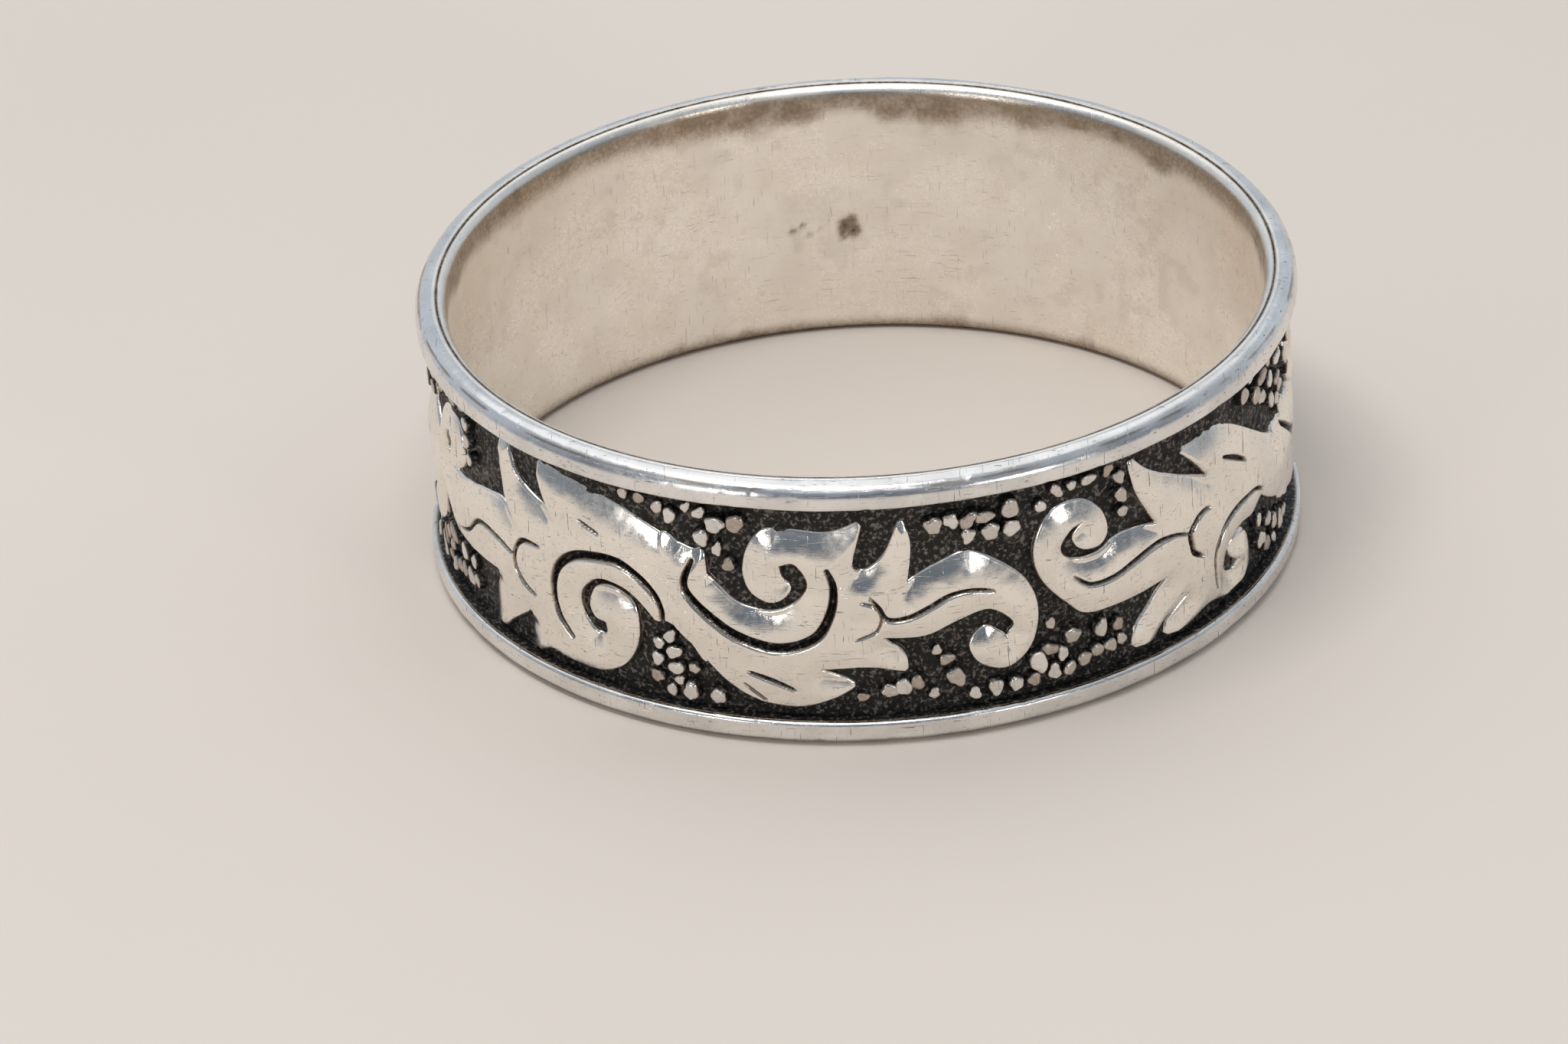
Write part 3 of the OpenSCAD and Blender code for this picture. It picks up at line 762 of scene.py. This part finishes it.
def granule_mesh(places, centre_deg, rng):
    """All the granules of one field as one mesh."""
    fit = min(UP, ALONG_DEG * math.radians(1) * GROUND)
    sets, faces = [], []
    per = (GRANULE_RINGS + 1) * GRANULE_SPOKES
    for n, (t, y, size) in enumerate(places):
        sets.append(one_granule(t, y, size * fit * GRANULE_SPREAD, rng))
        for k in range(GRANULE_RINGS):
            for m in range(GRANULE_SPOKES):
                ring = n * per + k * GRANULE_SPOKES
                p, q = ring + m, ring + (m + 1) % GRANULE_SPOKES
                faces.append([p, p + GRANULE_SPOKES, q + GRANULE_SPOKES, q])
    verts = np.concatenate(sets)
    points = wrap(verts[:, 0], verts[:, 1], verts[:, 2], centre_deg)
    return points, faces, verts[:, 3]


# ---------------------------------------------------------------- materials
BLACK = (0.020, 0.018, 0.016)
CRUMB = (0.22, 0.205, 0.19)
SCRATCH = (0.16, 0.14, 0.12)
BROWN = (0.36, 0.285, 0.215)


def new_material(name):
    mat = bpy.data.materials.new(name)
    mat.use_nodes = True
    tree = mat.node_tree
    tree.nodes.clear()
    out = tree.nodes.new("ShaderNodeOutputMaterial")
    shader = tree.nodes.new("ShaderNodeBsdfPrincipled")
    tree.links.new(shader.outputs[0], out.inputs[0])
    return mat, tree, shader


def add(tree, kind, **values):
    """A new node with the given settings."""
    node = tree.nodes.new(kind)
    for key, value in values.items():
        setattr(node, key, value)
    return node


def noise(tree, coords, scale, detail=3.0, rough=0.55, distort=0.0, stretch=None, turn=None):
    """Noise with features of about 1/scale millimetres, stretched or turned if asked."""
    mapping = add(tree, "ShaderNodeMapping")
    sx, sy, sz = stretch or (1, 1, 1)
    mapping.inputs["Scale"].default_value = (1000 * sx, 1000 * sy, 1000 * sz)
    mapping.inputs["Rotation"].default_value = turn or (0, 0, 0)
    tree.links.new(coords, mapping.inputs["Vector"])
    node = add(tree, "ShaderNodeTexNoise")
    node.inputs["Scale"].default_value = scale
    node.inputs["Detail"].default_value = detail
    node.inputs["Roughness"].default_value = rough
    node.inputs["Distortion"].default_value = distort
    tree.links.new(mapping.outputs[0], node.inputs["Vector"])
    return node.outputs["Fac"]


def remap(tree, value, low, high, to_low=0.0, to_high=1.0):
    node = add(tree, "ShaderNodeMapRange", interpolation_type="SMOOTHSTEP")
    node.inputs["From Min"].default_value = low
    node.inputs["From Max"].default_value = high
    node.inputs["To Min"].default_value = to_low
    node.inputs["To Max"].default_value = to_high
    tree.links.new(value, node.inputs["Value"])
    return node.outputs[0]


def math_node(tree, op, a, b, clamp=False):
    node = add(tree, "ShaderNodeMath", operation=op, use_clamp=clamp)
    for k, v in enumerate((a, b)):
        if isinstance(v, (int, float)):
            node.inputs[k].default_value = v
        else:
            tree.links.new(v, node.inputs[k])
    return node.outputs[0]


def mix_colour(tree, factor, a, b):
    node = add(tree, "ShaderNodeMix", data_type="RGBA")
    tree.links.new(factor, node.inputs["Factor"])
    for socket, v in ((node.inputs[6], a), (node.inputs[7], b)):
        if isinstance(v, tuple):
            socket.default_value = (*v, 1)
        else:
            tree.links.new(v, socket)
    return node.outputs[2]


def silver(name, bright, tint, rough, scratch, marks, satin=0.0):
    """Oxidised silver: bright where it is worn, black where the dark attribute says, which on the
    liner and rims also holds painted shade.

    scratch is how deep the scratches are, marks how dark, and satin how coarse the finish is.
    """
    mat, tree, shader = new_material(name)

    def times(a, b):
        return math_node(tree, "MULTIPLY", a, b)

    def plus(a, b, clamp=False):
        return math_node(tree, "ADD", a, b, clamp)

    coords = add(tree, "ShaderNodeTexCoord").outputs["Object"]
    dark = add(tree, "ShaderNodeAttribute", attribute_name="dark").outputs["Fac"]
    cloud = noise(tree, coords, 0.9, 4)
    grain = noise(tree, coords, 9.0, 5, 0.65)
    fine = noise(tree, coords, 42.0, 3)
    crumb = noise(tree, coords, 10.0, 4, 0.62)
    frost = noise(tree, coords, 0.42, 3)
    round_lines = noise(tree, coords, 1.0, 5, 0.75, 0.1, (0.5, 0.5, 26.0))
    lines = [noise(tree, coords, 7.0, 4, 0.7, 0.4, (0.16, 1.0, 4.0), (0.3, 0.8, 0.4)),
             noise(tree, coords, 6.0, 4, 0.7, 0.6, (0.16, 1.0, 4.0), (0.2, -0.5, 0.9))]
    thin_lines = noise(tree, coords, 5.0, 2, 0.6, 0.2, (6.0, 0.3, 0.3), (0.5, 0.9, 0.25))
    scratches = math_node(tree, "MAXIMUM", *(remap(tree, line, 0.64, 0.67) for line in lines))
    scratches = math_node(tree, "MAXIMUM", scratches, remap(tree, thin_lines, 0.68, 0.71))

    patchy = plus(dark, times(remap(tree, grain, 0.35, 0.7, -0.14, 0.14), dark))
    brown_fac = remap(tree, patchy, 0.0, 0.45)
    black_fac = remap(tree, patchy, 0.38, 0.8)
    tone = mix_colour(tree, remap(tree, cloud, 0.35, 0.65), bright, tint)
    worn = mix_colour(tree, times(scratches, marks), tone, SCRATCH)
    # brown and black from the dark attribute: tarnish and patina, and on the liner and rims painted
    # shade too
    stain_and_painted_shade = mix_colour(tree, brown_fac, worn, BROWN)
    deep = mix_colour(tree, remap(tree, crumb, 0.5, 0.66), BLACK, CRUMB)
    tree.links.new(mix_colour(tree, black_fac, stain_and_painted_shade, deep), shader.inputs["Base Color"])

    gloss = remap(tree, grain, 0.3, 0.7, rough - 0.05, rough + 0.07)
    gloss = plus(gloss, times(black_fac, 0.18))
    gloss = plus(gloss, remap(tree, frost, 0.46, 0.62, 0.0, 0.14))
    gloss = plus(gloss, times(scratches, 0.15), True)
    tree.links.new(gloss, shader.inputs["Roughness"])
    metal = math_node(tree, "SUBTRACT", 1.0, times(black_fac, 0.35))
    tree.links.new(metal, shader.inputs["Metallic"])

    height = plus(times(fine, 0.25 + satin), times(scratches, -scratch))
    height = plus(height, times(round_lines, 0.35 + satin))
    height = plus(height, times(grain, 0.5))
    height = plus(height, times(times(crumb, black_fac), 15.0))
    bump = add(tree, "ShaderNodeBump")
    bump.inputs["Strength"].default_value = 0.35
    bump.inputs["Distance"].default_value = 0.000012
    tree.links.new(height, bump.inputs["Height"])
    tree.links.new(bump.outputs[0], shader.inputs["Normal"])
    return mat


SCROLL_SILVER = silver("scroll_silver", (0.93, 0.88, 0.81), (0.86, 0.815, 0.75), 0.12, 1.2, 0.8)
GRANULE_SILVER = silver("granule_silver", (0.88, 0.85, 0.81), (0.72, 0.69, 0.66), 0.24, 1.0, 0.4)
RIM_SILVER = silver("rim_silver", (0.87, 0.852, 0.83), (0.75, 0.735, 0.715), 0.18, 1.2, 0.8, 0.15)
LINER_SILVER = silver("liner_silver", (0.99, 0.94, 0.865), (0.94, 0.88, 0.80), 0.28, 0.8, 0.3, 0.3)
SOLDER = silver("solder", (0.985, 0.935, 0.86), (0.93, 0.87, 0.79), 0.29, 0.6, 0.25, 0.3)

# ---------------------------------------------------------------- camera
# Angles in radians and distances in millimetres; found from the ellipses of the two rims.
ELEVATION = 0.5036
ROLL = 0.0493
DISTANCE = 178.0548
AIM_SIDE = -0.0109
AIM_UP = -0.0160
LENS = 174.45
SENSOR = 36


def make_camera():
    """In front of the band, aimed a little off its middle, and rolled."""
    back = Vector((0, -math.cos(ELEVATION), math.sin(ELEVATION)))
    right = Vector((1, 0, 0))
    up = Vector((0, math.sin(ELEVATION), math.cos(ELEVATION)))
    away = -back
    right1 = math.cos(AIM_SIDE) * right - math.sin(AIM_SIDE) * away
    away1 = math.sin(AIM_SIDE) * right + math.cos(AIM_SIDE) * away
    up1 = math.cos(AIM_UP) * up - math.sin(AIM_UP) * away1
    away2 = math.sin(AIM_UP) * up + math.cos(AIM_UP) * away1
    right3 = math.cos(ROLL) * right1 - math.sin(ROLL) * up1
    up3 = math.sin(ROLL) * right1 + math.cos(ROLL) * up1
    data = bpy.data.cameras.new("camera")
    data.lens = LENS
    data.sensor_width = SENSOR
    data.clip_start = 0.01
    data.clip_end = 10
    obj = bpy.data.objects.new("camera", data)
    spot = (back * DISTANCE + Vector((0, 0, MID))) * MM
    matrix = Matrix((right3, up3, -away2)).transposed().to_4x4()
    matrix.translation = spot
    obj.matrix_world = matrix
    bpy.context.scene.collection.objects.link(obj)
    bpy.context.scene.camera = obj


make_camera()


# ---------------------------------------------------------------- the pieces
MERGE_WITHIN = 2e-7
GRANULE_SEED = 5
SCROLL_END = -5.1       # a side leaf's tip, with room for its edge
LEAF_END = 4.2          # the same for an upright leaf


def merge_close(obj):
    """Joins the points at a granule's middle, where all its spokes meet."""
    bm = bmesh.new()
    bm.from_mesh(obj.data)
    bmesh.ops.remove_doubles(bm, verts=bm.verts, dist=MERGE_WITHIN)
    bm.to_mesh(obj.data)
    bm.free()
    obj.data.update()


def centre_of(i):
    """Degrees round the band to the middle of a scroll; 0 faces the camera."""
    return (i - (SCROLL_COUNT - 1) / 2) * PITCH_DEG


def build_scrolls():
    for i, style in enumerate(ORDER):
        side = style in ("left", "right")
        before = None if side or i == 0 else ORDER[i - 1]
        after = ORDER[i + 1] if side and i + 1 < SCROLL_COUNT else None
        start, stop = (SCROLL_END, LEADING_CUT) if side else (TRAILING_CUT, LEAF_END)
        name = "scroll_%d" % (i + 1)
        points, faces, dark = scroll_mesh(style, before, after, start, stop, centre_of(i))
        obj = make_mesh(name + "_chased", points, faces, SCROLL_SILVER, dark)
        finish_piece(obj, "scroll_silver", name)


def build_granules():
    rng = np.random.default_rng(GRANULE_SEED)
    for i, style in enumerate(ORDER):
        _, _, upper, lower = STYLES[style]
        for part, places in (("upper", upper), ("lower", lower)):
            name = "%s_granules_%d" % (part, i + 1)
            points, faces, dark = granule_mesh(places, centre_of(i), rng)
            obj = make_mesh(name + "_worn", points, faces, GRANULE_SILVER, dark)
            merge_close(obj)
            finish_piece(obj, "granule_silver", name)


HALF_GAP = SOLDER_W / 2 / GROUND
FIRST, LAST = HALF_GAP - math.pi, math.pi - HALF_GAP
# name, bottom, which side its shoulder faces, seed
RIMS = (("lower_rim", 0.0, -1, 51), ("upper_rim", BAND_W - RIM_W, 1, 61))


def build_turned():
    """The strip and the two rims, and the solder that fills the gap in all three."""
    def sweep(profile, columns, shape, dark):
        body = turned(profile, columns, FIRST, LAST, shape, dark)
        seam.append(turned(profile, 2, LAST, LAST + 2 * HALF_GAP, shape, dark))
        return body

    seam = []
    verts, faces, dark = sweep(liner_profile(), LINER_COLUMNS, liner_shape, liner_dark)
    finish_piece(make_mesh("liner_worn", verts, faces, LINER_SILVER, dark), "liner_silver", "liner")
    for name, bottom, top_side, seed in RIMS:
        shape, shade = rim_shape_for(bottom, top_side, seed), rim_dark_for(bottom, top_side)
        verts, faces, dark = sweep(rim_profile(bottom, top_side), RIM_COLUMNS, shape, shade)
        finish_piece(make_mesh(name + "_worn", verts, faces, RIM_SILVER, dark), "rim_silver", name)
    verts, faces, dark = joined(seam)
    finish_piece(make_mesh("solder_worn", verts, faces, SOLDER, dark), "solder", "solder_joint")


build_scrolls()
build_granules()
build_turned()


# ---------------------------------------------------------------- floor and light
FLOOR_HALF = 1.2


def build_floor():
    mesh = bpy.data.meshes.new("floor")
    corners = [(-1, -1), (1, -1), (1, 1), (-1, 1)]
    mesh.from_pydata([(x * FLOOR_HALF, y * FLOOR_HALF, 0) for x, y in corners], [], [(0, 1, 2, 3)])
    obj = bpy.data.objects.new("floor", mesh)
    bpy.context.scene.collection.objects.link(obj)
    mat, tree, shader = new_material("floor_card")
    coords = add(tree, "ShaderNodeTexCoord").outputs["Object"]
    cloud = noise(tree, coords, 0.05, 3)
    tint = mix_colour(tree, cloud, (0.775, 0.687, 0.607), (0.805, 0.716, 0.636))
    tree.links.new(tint, shader.inputs["Base Color"])
    shader.inputs["Roughness"].default_value = 0.85
    shader.inputs["Specular IOR Level"].default_value = 0.2
    mesh.materials.append(mat)


WARM = (1.0, 0.97, 0.92)
FILL = (1.0, 0.97, 0.93)
# name, place, width, height, watts, colour; all face the band
LIGHTS = [
    ("overhead", (-0.03, 0.12, 0.30), 0.42, 0.34, 0.28, WARM),
    ("strip", (-0.05, -0.075, 0.29), 0.22, 0.045, 0.33, (1.0, 0.99, 0.97)),
    ("fill_left", (-0.22, -0.28, 0.09), 0.07, 0.05, 0.13, FILL),
    ("fill_right", (0.22, -0.28, 0.09), 0.07, 0.05, 0.13, FILL),
]
FRONT_GREY = (0.155, 0.185, 0.23)
BACK_BLUE = (0.60, 0.665, 0.75)
ZENITH = (0.44, 0.49, 0.55)
WORLD_STRENGTH = 0.92


def area_light(name, place, width, height, watts, colour):
    data = bpy.data.lights.new(name, "AREA")
    data.shape = "RECTANGLE"
    data.size = width
    data.size_y = height
    data.energy = watts
    data.color = colour
    obj = bpy.data.objects.new(name, data)
    obj.location = place
    obj.rotation_euler = Vector(place).to_track_quat("Z", "Y").to_euler()
    bpy.context.scene.collection.objects.link(obj)


def build_light():
    """A dim room, brighter behind the band and overhead, and four soft lamps."""
    world = bpy.data.worlds.new("studio")
    bpy.context.scene.world = world
    world.use_nodes = True
    tree = world.node_tree
    background = tree.nodes["Background"]
    direction = add(tree, "ShaderNodeTexCoord").outputs["Generated"]
    axes = add(tree, "ShaderNodeSeparateXYZ")
    tree.links.new(direction, axes.inputs[0])
    behind = remap(tree, axes.outputs["Y"], -0.55, 0.75)
    above = remap(tree, axes.outputs["Z"], 0.25, 0.95)
    sides = mix_colour(tree, behind, FRONT_GREY, BACK_BLUE)
    sky = mix_colour(tree, above, sides, ZENITH)
    tree.links.new(sky, background.inputs["Color"])
    background.inputs["Strength"].default_value = WORLD_STRENGTH
    for light in LIGHTS:
        area_light(*light)


build_floor()
build_light()
bpy.context.scene.view_settings.view_transform = "Standard"
